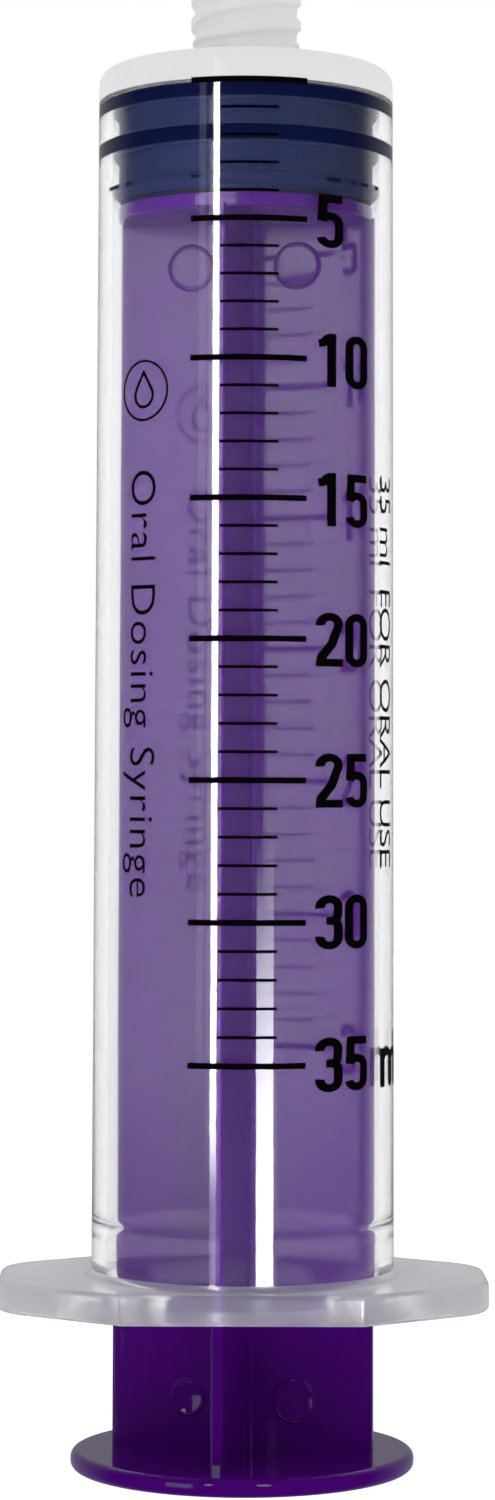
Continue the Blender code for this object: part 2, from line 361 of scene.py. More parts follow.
threadSizes = {
    "Lead": 4.4,
    "Starts": 2,
    "Ridge Height": 0.35,
    "Foot Width": 1.5,
    "Crest Width": 0.6,
    "First Angle": 207.0,
    "First Height": 2.4,
    "Turns": 1.45,
    "Run Out": 0.06,  # the share of a turn over which a ridge rises or falls away
}
flangeBottom = barrelLow.z
flangeTop = flangeBottom + barrelSizes["flangeThickness"]
tipTop = barrelHigh.z
shoulderTop = tipTop - barrelSizes["tipLength"]
boreCeiling = shoulderTop - barrelSizes["endWall"]


# the drafted outside of the tube
def outerRadius(height):
    share = (shoulderTop - height) / (shoulderTop - flangeTop)
    return barrelSizes["radiusTop"] + (barrelSizes["radiusBase"] - barrelSizes["radiusTop"]) * share


# angles and radii of a quarter of the flange's outline, drawn in by inset
def flangeQuarter(inset):
    size = barrelSizes
    halfLength, halfDepth = barrelHigh.x, size["flangeHalfDepth"]
    endCorner, frontCorner = size["flangeCorner"], size["flangeFrontCorner"]
    spacing = 0.1
    slant = math.atan2(halfDepth - size["flangeEndHalf"], halfLength - size["flangeFrontHalf"])
    turn = math.pi / 2 - slant
    endCentre = (halfLength - endCorner, size["flangeEndHalf"] - endCorner * math.tan(turn / 2))
    frontCentre = (size["flangeFrontHalf"] - frontCorner * math.tan(slant / 2), halfDepth - frontCorner)
    knots = [(halfLength - inset, 0.0)]
    knots += arc(endCentre, endCorner - inset, 0.0, math.degrees(turn), 24)
    knots += arc(frontCentre, frontCorner - inset, math.degrees(turn), 90.0, 10)
    knots.append((0.0, halfDepth - inset))
    points = [knots[0]]
    for start, end in zip(knots, knots[1:]):
        steps = max(1, int(math.dist(start, end) / spacing))
        points += [tuple(s + (e - s) * k / steps for s, e in zip(start, end)) for k in range(1, steps + 1)]
    return [math.atan2(y, x) for x, y in points], [math.hypot(x, y) for x, y in points]


def flangeRing(columns, inset, height):
    angles, radii = flangeQuarter(inset)
    ring = []
    for angle in columns:
        folded = abs(math.remainder(angle, math.pi))
        index = next((k for k, a in enumerate(angles) if a >= folded - 1e-9), len(angles) - 1)
        before = max(index - 1, 0)
        gap = angles[index] - angles[before]
        share = (folded - angles[before]) / gap if gap > 1e-12 else 0.0
        radius = radii[before] + (radii[index] - radii[before]) * share
        ring.append((radius * math.cos(angle), radius * math.sin(angle), height))
    return ring


# even columns, with finer ones at the flange's upright corners
def barrelColumns():
    columns = set(evenAngles(240))
    fineStep = math.radians(0.3)
    corner = math.atan2(barrelSizes["flangeHalfDepth"], barrelSizes["flangeFrontHalf"])
    for side in (corner, math.pi - corner, math.pi + corner, math.tau - corner):
        for step in range(-8, 9):
            columns.add(side + fineStep * step)
    ordered = sorted(columns)
    return [a for a, b in zip(ordered, ordered[1:] + [ordered[0] + math.tau]) if b - a > 1e-4]


edgeStrip = 0.06  # a narrow strip beside each rounding keeps the flat faces flat when smoothed


def flangeRings(columns):
    size = barrelSizes
    bevel = size["flangeBevel"]
    rings = turnedRings([(size["mouthRadius"] + size["mouthChamfer"], flangeBottom),
                         (size["radiusBase"], flangeBottom)], columns)
    rings.append(flangeRing(columns, bevel + edgeStrip, flangeBottom))
    bends = [math.pi / 2 * step / 5 for step in range(6)]
    rounded = [(bevel * (1 - math.sin(bend)), bevel * (1 - math.cos(bend))) for bend in bends]
    rings += [flangeRing(columns, inset, flangeBottom + rise) for inset, rise in rounded]
    rings += [flangeRing(columns, inset, flangeTop - rise) for inset, rise in reversed(rounded)]
    rings.append(flangeRing(columns, bevel + edgeStrip, flangeTop))
    return rings


def tubeOutline():
    size = barrelSizes
    fillet = size["flangeFillet"]
    base = outerRadius(flangeTop + fillet)
    outline = [(base + fillet + edgeStrip, flangeTop)]
    outline += arc((base + fillet, flangeTop + fillet), fillet, 270, 180, 6)
    heights = [flangeTop + size["tubeFoot"]]
    heights += [flangeTop + (shoulderTop - flangeTop) * share for share in (0.25, 0.5, 0.75)]
    rounding = size["shoulderRounding"]
    heights += [shoulderTop - below for below in (size["endWall"] + 0.2, rounding + 0.1)]
    outline += [(outerRadius(height), height) for height in heights]
    outline += arc((size["radiusTop"] - rounding, shoulderTop - rounding), rounding, 0, 90, 12)
    outline.append((size["radiusTop"] - rounding - edgeStrip, shoulderTop))
    return outline


# up the outside of the tip, in rows fine enough for the thread, and down its socket and lumen
def tipOutline():
    size = barrelSizes
    core, root, rim = size["tipCore"], size["tipRoot"], size["tipRim"]
    outline = [(core + root + edgeStrip, shoulderTop)]
    outline += arc((core + root, shoulderTop + root), root, 270, 180, 8)
    start, end = shoulderTop + root + 0.1, tipTop - rim - 0.1
    rows = int((end - start) / size["tipRowSpacing"])
    outline += [(core, start + (end - start) * row / rows) for row in range(rows + 1)]
    outline += arc((core - rim, tipTop - rim), rim, 0, 90, 6)
    edge, corner = size["socketEdge"], size["socketCorner"]
    outline += arc((size["socketMouth"] + edge, tipTop - edge), edge, 90, 180, 5)
    socketFloor = tipTop - size["socketDepth"]
    outline.append((size["socketFloor"], socketFloor + 0.3))
    outline += arc((size["socketFloor"] - corner, socketFloor + corner), corner, 0, -90, 4)
    edge, outlet = size["lumenEdge"], size["lumenOutlet"]
    outline += arc((size["lumen"] + edge, socketFloor - edge), edge, 90, 180, 4)
    outline += arc((size["lumen"] + outlet, boreCeiling + outlet), outlet, 180, 270, 4)
    return outline


# down the bore, over the bead that keeps the plunger in, to the mouth
def boreOutline():
    size = barrelSizes
    reach, corner = size["boreRadius"], size["boreCorner"]
    bead, half = size["beadHeight"], size["beadHalfLength"]
    outline = [(reach - corner - edgeStrip, boreCeiling)]
    outline += arc((reach - corner, boreCeiling - corner), corner, 90, 0, 5)
    outline.append((reach, boreCeiling - corner - 0.1))
    outline += [(reach, boreCeiling + (bead - boreCeiling) * share) for share in (0.25, 0.5, 0.75)]
    for step in range(13):
        share = step / 12
        swell = size["beadProud"] * math.sin(math.pi * share) ** 2
        outline.append((reach - swell, bead + half - 2 * half * share))
    mouth = flangeBottom + size["mouthDepth"]
    mouthReach = size["mouthRadius"]
    outline += [(reach, mouth + 0.3), (reach + 0.01, mouth + 0.05)]
    outline += [(mouthReach, flangeBottom + 0.12), (mouthReach + 0.03, flangeBottom + 0.03)]
    return outline


# a Geometry Nodes tree with named inputs, and the sockets that those inputs arrive on
def newTree(name, inputs):
    tree = bpy.data.node_groups.new(name, "GeometryNodeTree")
    for kind, sockets in inputs.items():
        for socket in sockets:
            tree.interface.new_socket(socket, in_out="INPUT", socket_type="NodeSocket" + kind)
    tree.interface.new_socket("Geometry", in_out="OUTPUT", socket_type="NodeSocketGeometry")
    return tree, addNode(tree, "NodeGroupInput").outputs


def realParts(tree, geometry):
    return outputOf(tree, "GeometryNodeRealizeInstances", {0: geometry})


def endTree(tree, geometry, material):
    values = {"Geometry": realParts(tree, geometry), "Material": material}
    painted = outputOf(tree, "GeometryNodeSetMaterial", values)
    feed(tree, addNode(tree, "NodeGroupOutput"), {0: painted})


# raises the outside of the tip into helical ridges
def threadTree():
    tree, given = newTree("tipThread", {
        "Geometry": ("Geometry",),
        "Float": ("Lead", "Ridge Height", "Foot Width", "Crest Width", "First Angle", "First Height",
                  "Turns", "Run Out", "Inner Limit", "Lower Limit", "Upper Limit"),
        "Int": ("Starts",),
        "Material": ("Plastic",),
    })
    x, y, z = partsOf(tree, addNode(tree, "GeometryNodeInputPosition").outputs[0])
    reach = mathNode(tree, "SQRT", plus(tree, times(tree, x, x), times(tree, y, y)))
    outside = mathNode(tree, "GREATER_THAN", reach, given["Inner Limit"])
    above = mathNode(tree, "GREATER_THAN", z, given["Lower Limit"])
    below = mathNode(tree, "LESS_THAN", z, given["Upper Limit"])
    chosen = times(tree, outside, times(tree, above, below))
    firstAngle = mathNode(tree, "RADIANS", given["First Angle"])
    angle = over(tree, minus(tree, mathNode(tree, "ARCTAN2", y, x), firstAngle), math.tau)
    climbed = over(tree, minus(tree, z, given["First Height"]), given["Lead"])
    starts = times(tree, minus(tree, climbed, angle), given["Starts"])
    phase = mathNode(tree, "ABSOLUTE", minus(tree, starts, mathNode(tree, "ROUND", starts)))
    away = times(tree, phase, over(tree, given["Lead"], given["Starts"]))
    foot, crest = (over(tree, given[name], 2.0) for name in ("Foot Width", "Crest Width"))
    ridge = smoothRamp(tree, away, foot, crest)
    before = times(tree, given["Run Out"], -1.0)
    rise = smoothRamp(tree, climbed, before, given["Run Out"])
    fall = smoothRamp(tree, minus(tree, given["Turns"], climbed), before, given["Run Out"])
    swell = times(tree, times(tree, ridge, given["Ridge Height"]), times(tree, rise, fall))
    push = over(tree, times(tree, swell, chosen), reach)
    offset = vectorOf(tree, times(tree, x, push), times(tree, y, push))
    moved = outputOf(tree, "GeometryNodeSetPosition", {"Geometry": given["Geometry"], "Offset": offset})
    endTree(tree, moved, given["Plastic"])
    return tree


def runTree(piece, tree, values):
    modifier = piece.modifiers.new(tree.name, "NODES")
    modifier.node_group = tree
    for item in tree.interface.items_tree:
        if item.in_out == "INPUT" and item.name in values:
            modifier[item.identifier] = values[item.name]
    return bakeModifiers(piece)


# the tube's thin wall is clear and its bore slightly hazy; the thick flange, shoulder and tip look milky
def paintBarrel(mesh):
    mesh.materials.clear()
    for material in (clearPlastic, hazyBore, milkyPlastic, flangePlastic):
        mesh.materials.append(material)
    tubeBottom = flangeTop + barrelSizes["flangeFillet"]
    tubeTop = boreCeiling - 0.1
    for face in mesh.polygons:
        reach, height = math.hypot(face.center.x, face.center.y) / mm, face.center.z / mm
        if reach < barrelSizes["boreRadius"] + 0.02 and height < boreCeiling - 0.3:
            face.material_index = 1
        elif tubeBottom < height < tubeTop:
            face.material_index = 0
        else:
            face.material_index = 2 if height > tubeTop else 3


def makeBarrel():
    columns = barrelColumns()
    outline = tubeOutline() + tipOutline() + boreOutline()
    rings = flangeRings(columns) + turnedRings(outline, columns)
    shell = finishMesh("barrelShell", loft(rings, closed=True), clearPlastic, 60.0)
    lengths = ("Lead", "Ridge Height", "Foot Width", "Crest Width")
    values = {name: value * mm if name in lengths else value for name, value in threadSizes.items()}
    values["First Height"] = (shoulderTop + threadSizes["First Height"]) * mm
    values["Inner Limit"] = (barrelSizes["tipCore"] - 0.1) * mm
    values["Lower Limit"] = (shoulderTop + barrelSizes["tipRoot"]) * mm
    values["Upper Limit"] = (tipTop - barrelSizes["tipRim"]) * mm
    values["Plastic"] = milkyPlastic
    runTree(shell, threadTree(), values)
    paintBarrel(shell.data)
    shell.visible_shadow = False  # lamps reach the rod through the clear wall
    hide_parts("barrel")
    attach(shell, "barrel")
    return shell


barrel = makeBarrel()
print("barrel made")

# bands are depths below the zero mark
stopperSizes = {
    "ringReach": 11.66,  # the rings press against the bore
    "grooveReach": 11.05,
    "baseReach": 11.0,
    "firstRingLower": 1.24,
    "firstRounding": 0.18,
    "secondRing": (3.64, 4.91),
    "secondRounding": 0.22,
    "lip": (7.80, 8.20),
    "lipReach": 11.60,
    "lipPatches": ((-66, 5), (-55, 2), (-20, 3), (38, 4), (49, 1.5), (56, 3), (65, 2),  # middle, half width
                   (105, 6), (128, 3), (170, 9), (-150, 5), (-110, 4)),
    "length": 8.95,
    "baseRounding": 0.3,
    "holeReach": 5.6,
    "holeLength": 2.0,
    "barbRoomReach": 7.9,
    "barbRoom": (2.6, 3.5),  # heights above the base
    "cavityTop": 2.6,
    "cavityTopReach": 6.2,
}


# one sealing ring: a flat band with rounded shoulders down to the groove on each side
def ringBand(band, rounding, reach, groove):
    upper, lower = zeroMark - band[0], zeroMark - band[1]
    points = [(groove, upper + rounding)]
    points += arc((reach - rounding, upper - rounding * 0.2), rounding, 90, 0, 4)
    points += arc((reach - rounding, lower + rounding * 0.2), rounding, 0, -90, 4)
    points.append((groove, lower - rounding))
    return points


def stopperOutline():
    size = stopperSizes
    reach, groove, pole = size["ringReach"], size["grooveReach"], 0.6
    outline = [(pole, stopperTop - 0.02), (5.0, stopperTop), (reach - 0.5, stopperTop)]
    firstLower = zeroMark - size["firstRingLower"]
    rounding = size["firstRounding"]
    outline += arc((reach - rounding, stopperTop - rounding), rounding, 90, 0, 4)
    outline += arc((reach - rounding, firstLower + 0.1), rounding, 0, -90, 4)
    outline.append((groove, firstLower - 0.2))
    outline += ringBand(size["secondRing"], size["secondRounding"], reach, groove)
    lipUpper, lipLower = (zeroMark - below for below in size["lip"])
    outline += [(groove, lipUpper + 0.35), (reach - 0.06, lipUpper + 0.05)]
    outline += [(reach, lipUpper - 0.05), (reach, lipLower + 0.05), (reach - 0.06, lipLower - 0.02)]
    bottom = zeroMark - size["length"]
    corner = size["baseRounding"]
    outline += arc((size["baseReach"] - corner, bottom + corner), corner, 0, -90, 4)
    hole, room = size["holeReach"], size["barbRoomReach"]
    outline += [(hole + 0.4, bottom), (hole, bottom + 0.4), (hole, bottom + size["holeLength"])]
    outline += [(room, bottom + height) for height in size["barbRoom"]]
    cavityTop = zeroMark - size["cavityTop"]
    outline += [(size["cavityTopReach"], cavityTop), (pole, cavityTop)]
    return outline


def makeStopper():
    size = stopperSizes
    columns = evenAngles(384)
    rings = turnedRings(stopperOutline(), columns)
    lipMiddle = zeroMark - sum(size["lip"]) / 2
    lipHalf = (size["lip"][1] - size["lip"][0]) / 2
    for ring in rings:  # the lip touches the bore in patches only
        height = ring[0][2]
        if abs(lipMiddle - height) < lipHalf:
            for index, angle in enumerate(columns):
                turn = math.degrees(angle) + 90
                gaps = [abs(math.remainder(turn - patch, 360)) - half for patch, half in size["lipPatches"]]
                reach = size["ringReach"] if min(gaps) < 0 else size["lipReach"]
                ring[index] = (reach * math.cos(angle), reach * math.sin(angle), height)
    piece = finishMesh("rubberStopper", loft(rings, closed=False), rubber)
    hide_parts("stopper")
    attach(piece, "stopper")


makeStopper()
print("stopper made")

# depths are below the zero mark
rodSizes = {
    "ribReach": 11.25,
    "rootThickness": 1.5,
    "edgeThickness": 1.0,
    "rootFillet": 0.35,
    "edgeRounding": 0.18,
    "headReach": 11.05,
    "headDepth": 9.25,
    "headThickness": 1.25,
    "headRounding": 0.2,
    "studDepth": 3.0,
    "studReach": 5.6,
    "barbReach": 7.5,
    "barbDepths": (5.5, 6.0),
    "neckDepth": 6.6,
    "neckReach": 5.2,
    "thumbReach": 14.58,
    "thumbThickness": 1.55,
    "thumbRounding": 0.62,
    "padOffset": 4.64,
    "pads": ((-1, 5.7, 1.65), (1, 5.7, 2.0), (-1, 102.6, 2.1), (1, 102.6, 2.1)),  # side, height, reach
    "padRim": 0.42,
    "padProud": 0.2,
    "padDishDepth": 0.10,
    "padRounding": 0.1,
    "overlap": 0.3,  # how far the ribs run into the discs at their ends
    "turn": -11.0,
}
poleReach = 0.4  # a turned solid's outline starts and ends beside the axis


# the cross of four tapered ribs with rounded edges and filleted roots, as one outline
def crossSection():
    size = rodSizes
    halfEdge, halfRoot, reach = size["edgeThickness"] / 2, size["rootThickness"] / 2, size["ribReach"]
    rounding, fillet = size["edgeRounding"], size["rootFillet"]
    strip = 0.04  # narrow strips keep the faces flat
    slope = (halfRoot - halfEdge) / reach
    tilt = math.degrees(math.atan(slope))
    quarter = arc((reach - rounding, halfEdge - rounding), rounding, 0, 90 - tilt, 5)
    along = quarter[-1]
    quarter.append((along[0] - strip, along[1] + strip * slope))
    corner = (halfRoot - slope * (halfRoot + fillet)) + fillet
    root = arc((corner, corner), fillet, 270 - tilt, 180 + tilt, 5)
    quarter.append((root[0][0] + strip, root[0][1] - strip * slope))
    quarter += root + [(y, x) for x, y in reversed(quarter)]
    outline = []
    for turn in range(4):
        cos, sin = round(math.cos(math.pi / 2 * turn)), round(math.sin(math.pi / 2 * turn))
        outline += [(x * cos - y * sin, x * sin + y * cos) for x, y in quarter]
    return outline


def ribSolid():
    size = rodSizes
    bottom = size["thumbThickness"] - size["overlap"]
    top = zeroMark - size["headDepth"] - size["headThickness"] + size["overlap"]
    rows = 24
    rings = []
    for row in range(rows + 1):
        height = bottom + (top - bottom) * row / rows
        rings.append([(x, y, height) for x, y in crossSection()])
    return loft(rings, closed=False)


# the head disc and the barbed stud that the stopper snaps over
def headOutline():
    size = rodSizes
    studTop = zeroMark - size["studDepth"]
    top = zeroMark - size["headDepth"]
    bottom = top - size["headThickness"]
    rounding = size["headRounding"]
    outline = [(poleReach, studTop), (size["studReach"], studTop)]
    outline += [(size["barbReach"], zeroMark - depth) for depth in size["barbDepths"]]
    outline += [(size["neckReach"], zeroMark - size["neckDepth"]), (size["neckReach"], top)]
    outline += arc((size["headReach"] - rounding, top - rounding), rounding, 90, 0, 4)
    outline += arc((size["headReach"] - rounding, bottom + rounding), rounding, 0, -90, 4)
    outline.append((poleReach, bottom))
    return outline


def thumbOutline():
    size = rodSizes
    rounding = size["thumbRounding"]
    rim = size["thumbReach"] - rounding
    outline = [(poleReach, size["thumbThickness"]), (rim - 0.1, size["thumbThickness"])]
    outline += arc((rim, size["thumbThickness"] - rounding), rounding, 90, 0, 8)
    outline += arc((rim, rounding), rounding, 0, -90, 8)
    outline += [(rim - 0.1, 0.0), (poleReach, 0.0)]
    return outline


# a low round boss with a dished face, left on the front of a side rib
def padSolid(side, height, reach):
    size = rodSizes
    share = size["padOffset"] / size["ribReach"]
    face = (size["rootThickness"] * (1 - share) + size["edgeThickness"] * share) / 2
    proud = face + size["padProud"]
    dish = reach - size["padRim"]
    buried = 0.1  # the boss starts inside the rib
    outline = []
    for step in range(9):
        share = max(0.03, step / 8)
        outline.append((dish * share, proud - size["padDishDepth"] * (1 - share * share)))
    outline += arc((dish + 0.15, proud - size["padRounding"]), size["padRounding"], 150, 0, 6)
    outline += [(reach, face), (reach, buried), (0.05, buried)]
    builder = turnedSolid(outline, evenAngles(64))
    place = Matrix.Translation((side * size["padOffset"], 0, height)) @ Matrix.Rotation(math.pi / 2, 4, "X")
    bmesh.ops.transform(builder, matrix=place, verts=builder.verts)
    return builder


# several closed shapes, united into one clean solid
def joinSolids(name, builders, material):
    pieces = [finishMesh(f"{name}{index}", builder, material) for index, builder in enumerate(builders)]
    solid = pieces[0]
    for tool in pieces[1:]:
        modifier = solid.modifiers.new("join", "BOOLEAN")
        modifier.operation = "UNION"
        modifier.object = tool
    bakeModifiers(solid)
    for tool in pieces[1:]:
        bpy.data.objects.remove(tool, do_unlink=True)
    solid.name = name
    solid.data.name = name
    solid.data.set_sharp_from_angle(angle=math.radians(35.0))
    return solid


def makeRod():
    columns = evenAngles(192)
    shapes = [ribSolid(), turnedSolid(headOutline(), columns), turnedSolid(thumbOutline(), columns)]
    shapes += [padSolid(*pad) for pad in rodSizes["pads"]]
    rod = joinSolids("plungerRod", shapes, purplePlastic)
    flatArea = 2 * mm * mm  # the ribs' and discs' large faces stay flat
    for face in rod.data.polygons:
        face.use_smooth = face.area < flatArea
    rod.data.transform(Matrix.Rotation(math.radians(rodSizes["turn"]), 4, "Z"))
    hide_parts("plunger_rod")
    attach(rod, "plunger")
    return rod


rod = makeRod()
print("rod made")

scaleSizes = {
    "Marks": 36,
    "Pitch": 2.347,
    "Major Every": 5,
    "Major Length": 10.0,
    "Minor Length": 5.0,
    "Major Width": 0.50,
    "Minor Width": 0.25,
    "Bar Columns": 33,
    "Ink Depth": 0.03,
    "Sunk": 0.01,
    "Aside": 0.30,
}


# graduations up the barrel: a bar at each step, longer and heavier at every fifth, bent round the tube
def markTree():
    tree, given = newTree("graduations", {
        "Float": ("Pitch", "Major Length", "Minor Length", "Major Width", "Minor Width", "Ink Depth",
                  "Sunk", "Aside", "Zero Height", "Radius At Zero", "Draft"),
        "Int": ("Marks", "Major Every", "Bar Columns"),
        "Material": ("Ink",),
    })
    step = vectorOf(tree, z=times(tree, given["Pitch"], -1.0))
    first = vectorOf(tree, z=given["Zero Height"])
    values = {"Count": given["Marks"], "Start Location": first, "Offset": step}
    line = outputOf(tree, "GeometryNodeMeshLine", values)
    index = addNode(tree, "GeometryNodeInputIndex").outputs[0]
    major = mathNode(tree, "LESS_THAN", mathNode(tree, "MODULO", index, given["Major Every"]), 0.5)
    joined = addNode(tree, "GeometryNodeJoinGeometry")
    for name, chosen in (("Major", major), ("Minor", minus(tree, 1.0, major))):
        barSize = vectorOf(tree, given[name + " Length"], given["Ink Depth"], given[name + " Width"])
        bar = outputOf(tree, "GeometryNodeMeshCube", {"Size": barSize, "Vertices X": given["Bar Columns"]})
        values = {"Points": line, "Selection": chosen, "Instance": bar}
        feed(tree, joined, {0: outputOf(tree, "GeometryNodeInstanceOnPoints", values)})
    bars = realParts(tree, joined.outputs[0])
    x, y, z = partsOf(tree, addNode(tree, "GeometryNodeInputPosition").outputs[0])
    fallen = minus(tree, given["Zero Height"], z)
    wall = plus(tree, given["Radius At Zero"], times(tree, fallen, given["Draft"]))
    lift = minus(tree, over(tree, given["Ink Depth"], 2.0), given["Sunk"])
    reach = minus(tree, plus(tree, wall, lift), y)
    angle = over(tree, plus(tree, x, given["Aside"]), wall)
    across = times(tree, reach, mathNode(tree, "SINE", angle))
    back = times(tree, times(tree, reach, -1.0), mathNode(tree, "COSINE", angle))
    values = {"Geometry": bars, "Position": vectorOf(tree, across, back, z)}
    endTree(tree, outputOf(tree, "GeometryNodeSetPosition", values), given["Ink"])
    return tree


def printPiece(piece):
    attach(piece, "barrel")


def makeMarks():
    counts = ("Marks", "Major Every", "Bar Columns")
    values = {name: value if name in counts else value * mm for name, value in scaleSizes.items()}
    values["Zero Height"] = zeroMark * mm
    values["Radius At Zero"] = outerRadius(zeroMark) * mm
    values["Draft"] = (barrelSizes["radiusBase"] - barrelSizes["radiusTop"]) / (shoulderTop - flangeTop)
    values["Ink"] = ink
    marks = newObject("scaleMarks", bpy.data.meshes.new("scaleMarks"))
    printPiece(runTree(marks, markTree(), values))


# a pen stroke of even width along points (u, v), as a flat slab 1 mm deep until it is printed
def strokeSolid(points, width, closed=False):
    count = len(points)
    sharpestMitre = 0.35
    left, right = [], []
    for index, point in enumerate(points):
        before = Vector(points[index - 1]) if index or closed else None
        after = Vector(points[(index + 1) % count]) if index < count - 1 or closed else None
        here = Vector(point)
        incoming = (here - before).normalized() if before is not None else (after - here).normalized()
        outgoing = (after - here).normalized() if after is not None else incoming
        middle = (incoming + outgoing).normalized()
        normal = Vector((-middle.y, middle.x))
        reach = width / 2 / max(sharpestMitre, normal.dot(Vector((-incoming.y, incoming.x))))
        left.append(here + normal * reach)
        right.append(here - normal * reach)
    rings = [[(*a, 0.0), (*b, 0.0), (*b, 1.0), (*a, 1.0)] for a, b in zip(left, right)]
    return loft(rings, closed)


numeralSizes = {
    "height": 4.5,
    "squeeze": 0.70,  # figures are drawn tall and squeezed, which thins their level strokes
    "width": 2.8,
    "stroke": 0.95,
    "gap": 0.25,
    "left": 6.15,
    "unitGap": 2.1,
    "unitStroke": 0.874,
    "unitRise": 0.72,  # height of the small m as a share of the figures'
    "unitArch": 2.1,
    "unitAdvance": 5.9,
}
drawnHeight = numeralSizes["height"] / numeralSizes["squeeze"]


# centre lines of a heavy narrow face, as (points, closed) pairs
def glyphStrokes(character):
    tall, wide, pen = drawnHeight, numeralSizes["width"], numeralSizes["stroke"]
    low, high, near, far = pen / 2, tall - pen / 2, pen / 2, wide - pen / 2
    bowl = (far - near) / 2
    middle = (near + far) / 2
    upper, lower = (middle, high - bowl), (middle, low + bowl)
    if character == "0":
        return [(arc(upper, bowl, 0, 180, 16) + arc(lower, bowl, 180, 360, 16), True)]
    if character == "1":
        stem = wide * 0.56
        flag = [(0.09, 0.805), (0.24, 0.815), (0.34, 0.86), (0.46, 0.94)]  # shares of the width and height
        return [([(stem, 0.0), (stem, tall)], False), ([(wide * u, tall * v) for u, v in flag], False)]
    if character == "2":
        foot = [(far - bowl * 0.75, tall * 0.42), (near + 0.12, low + pen * 0.72)]
        foot += [(near + 0.06, low), (wide, low)]
        return [(arc(upper, bowl, 190, -30, 18) + foot, False)]
    if character == "3":
        waist, turn = tall * 0.525, bowl * 0.8
        notch = [(middle - 0.3, waist)]
        top = arc(upper, bowl, 190, 0, 16) + arc((far - 0.06 - turn, waist + turn), turn, 0, -80, 8)
        base = arc((far - turn, waist - turn), turn, 80, 0, 8) + arc(lower, bowl, 0, -190, 16)
        return [(top + notch, False), (notch + base, False)]
    shoulder = (near + 0.10, tall * 0.50)  # only 5 is left
    belly = arc((middle, tall * 0.60 - bowl), bowl, 140, 0, 10) + arc(lower, bowl, 0, -170, 18)
    return [([(wide - 0.12, high), (near + 0.22, high), shoulder], False), ([shoulder] + belly, False)]


def unitStrokes(character):
    tall, pen, arch = drawnHeight, numeralSizes["unitStroke"], numeralSizes["unitArch"]
    rise = tall * numeralSizes["unitRise"]
    if character == "l":
        return [([(pen / 2, 0.0), (pen / 2, tall)], False)]
    strokes = [([(pen / 2, 0.0), (pen / 2, rise)], False)]
    for leg in range(2):
        left, right = pen / 2 + leg * arch, pen / 2 + (leg + 1) * arch
        curve = arc(((left + right) / 2, rise - pen / 2 - arch / 2), arch / 2, 160, 0, 10)
        strokes.append((curve + [(right, 0.0)], False))
    return strokes


def glyphSolid(strokes, pen):
    figure = joinSolids("figure", [strokeSolid(points, pen, closed) for points, closed in strokes], ink)
    figure.data.transform(Matrix.Diagonal((1.0, numeralSizes["squeeze"], 1.0, 1.0)))
    return figure


# bends a flat slab (u, v, 0 to 1) in millimetres round the barrel, u measured along the wall from the front
def wrapOnBarrel(piece, left, bottom):
    strip = 0.35
    builder = bmesh.new()
    builder.from_mesh(piece.data)
    bmesh.ops.scale(builder, vec=(1 / mm,) * 3, verts=builder.verts)
    low = min(vertex.co.x for vertex in builder.verts)
    high = max(vertex.co.x for vertex in builder.verts)
    cut = low + strip
    while cut < high - 0.02:
        bmesh.ops.bisect_plane(builder, geom=builder.verts[:] + builder.edges[:] + builder.faces[:],
                               plane_co=(cut, 0, 0), plane_no=(1, 0, 0), dist=1e-6)
        cut += strip
    for vertex in builder.verts:
        u, v, w = vertex.co
        height = bottom + v
        wall = outerRadius(height)
        angle = (left + u) / wall
        reach = wall - scaleSizes["Sunk"] + scaleSizes["Ink Depth"] * w
        vertex.co = (reach * math.sin(angle), -reach * math.cos(angle), height)
    bmesh.ops.recalc_face_normals(builder, faces=builder.faces)
    bmesh.ops.scale(builder, vec=(mm, mm, mm), verts=builder.verts)
    builder.to_mesh(piece.data)
    builder.free()
    return piece


def joinPrints(name, pieces):
    builder = bmesh.new()
    for piece in pieces:
        builder.from_mesh(piece.data)
    mesh = bpy.data.meshes.new(name)
    builder.to_mesh(mesh)
    builder.free()
    mesh.materials.append(ink)
    mesh.set_sharp_from_angle(angle=math.radians(30))
    for piece in pieces:
        bpy.data.objects.remove(piece, do_unlink=True)
    printPiece(newObject(name, mesh))


def makeNumerals():
    size = numeralSizes
    advance = size["width"] + size["gap"]
    figures = []
    every = scaleSizes["Major Every"]
    for volume in range(every, scaleSizes["Marks"], every):
        bottom = zeroMark - volume * scaleSizes["Pitch"] - size["height"] / 2
        for place, character in enumerate(str(volume)):
            figure = glyphSolid(glyphStrokes(character), size["stroke"])
            figures.append(wrapOnBarrel(figure, size["left"] + place * advance, bottom))
    unitLeft = size["left"] + 2 * advance + size["unitGap"]  # the unit follows the last figures
    for place, character in enumerate("ml"):
        letter = glyphSolid(unitStrokes(character), size["unitStroke"])
        figures.append(wrapOnBarrel(letter, unitLeft + place * size["unitAdvance"], bottom))
    joinPrints("scaleNumerals", figures)


makeMarks()
makeNumerals()
print("scale printed")

# plain wording and a dose-drop sign, upright along the left of the scale and at the right edge
wordingSizes = {
    "thin": -0.008,
    "leftText": "Oral Dosing Syringe",
    "leftLetters": (4.1, 1.07),  # height and spacing
    "leftBase": -10.75,  # distance round the wall from the front to the letters' feet
    "leftTop": 32.5,  # below the zero mark
    "rightText": "35 ml  FOR ORAL USE",
    "rightLetters": (3.9, 0.9),
    "rightBase": 14.2,
    "rightTop": 32.5,
    "signCentre": (-9.33, 25.95),
    "signReach": 2.5,
    "signPen": 0.2,
}


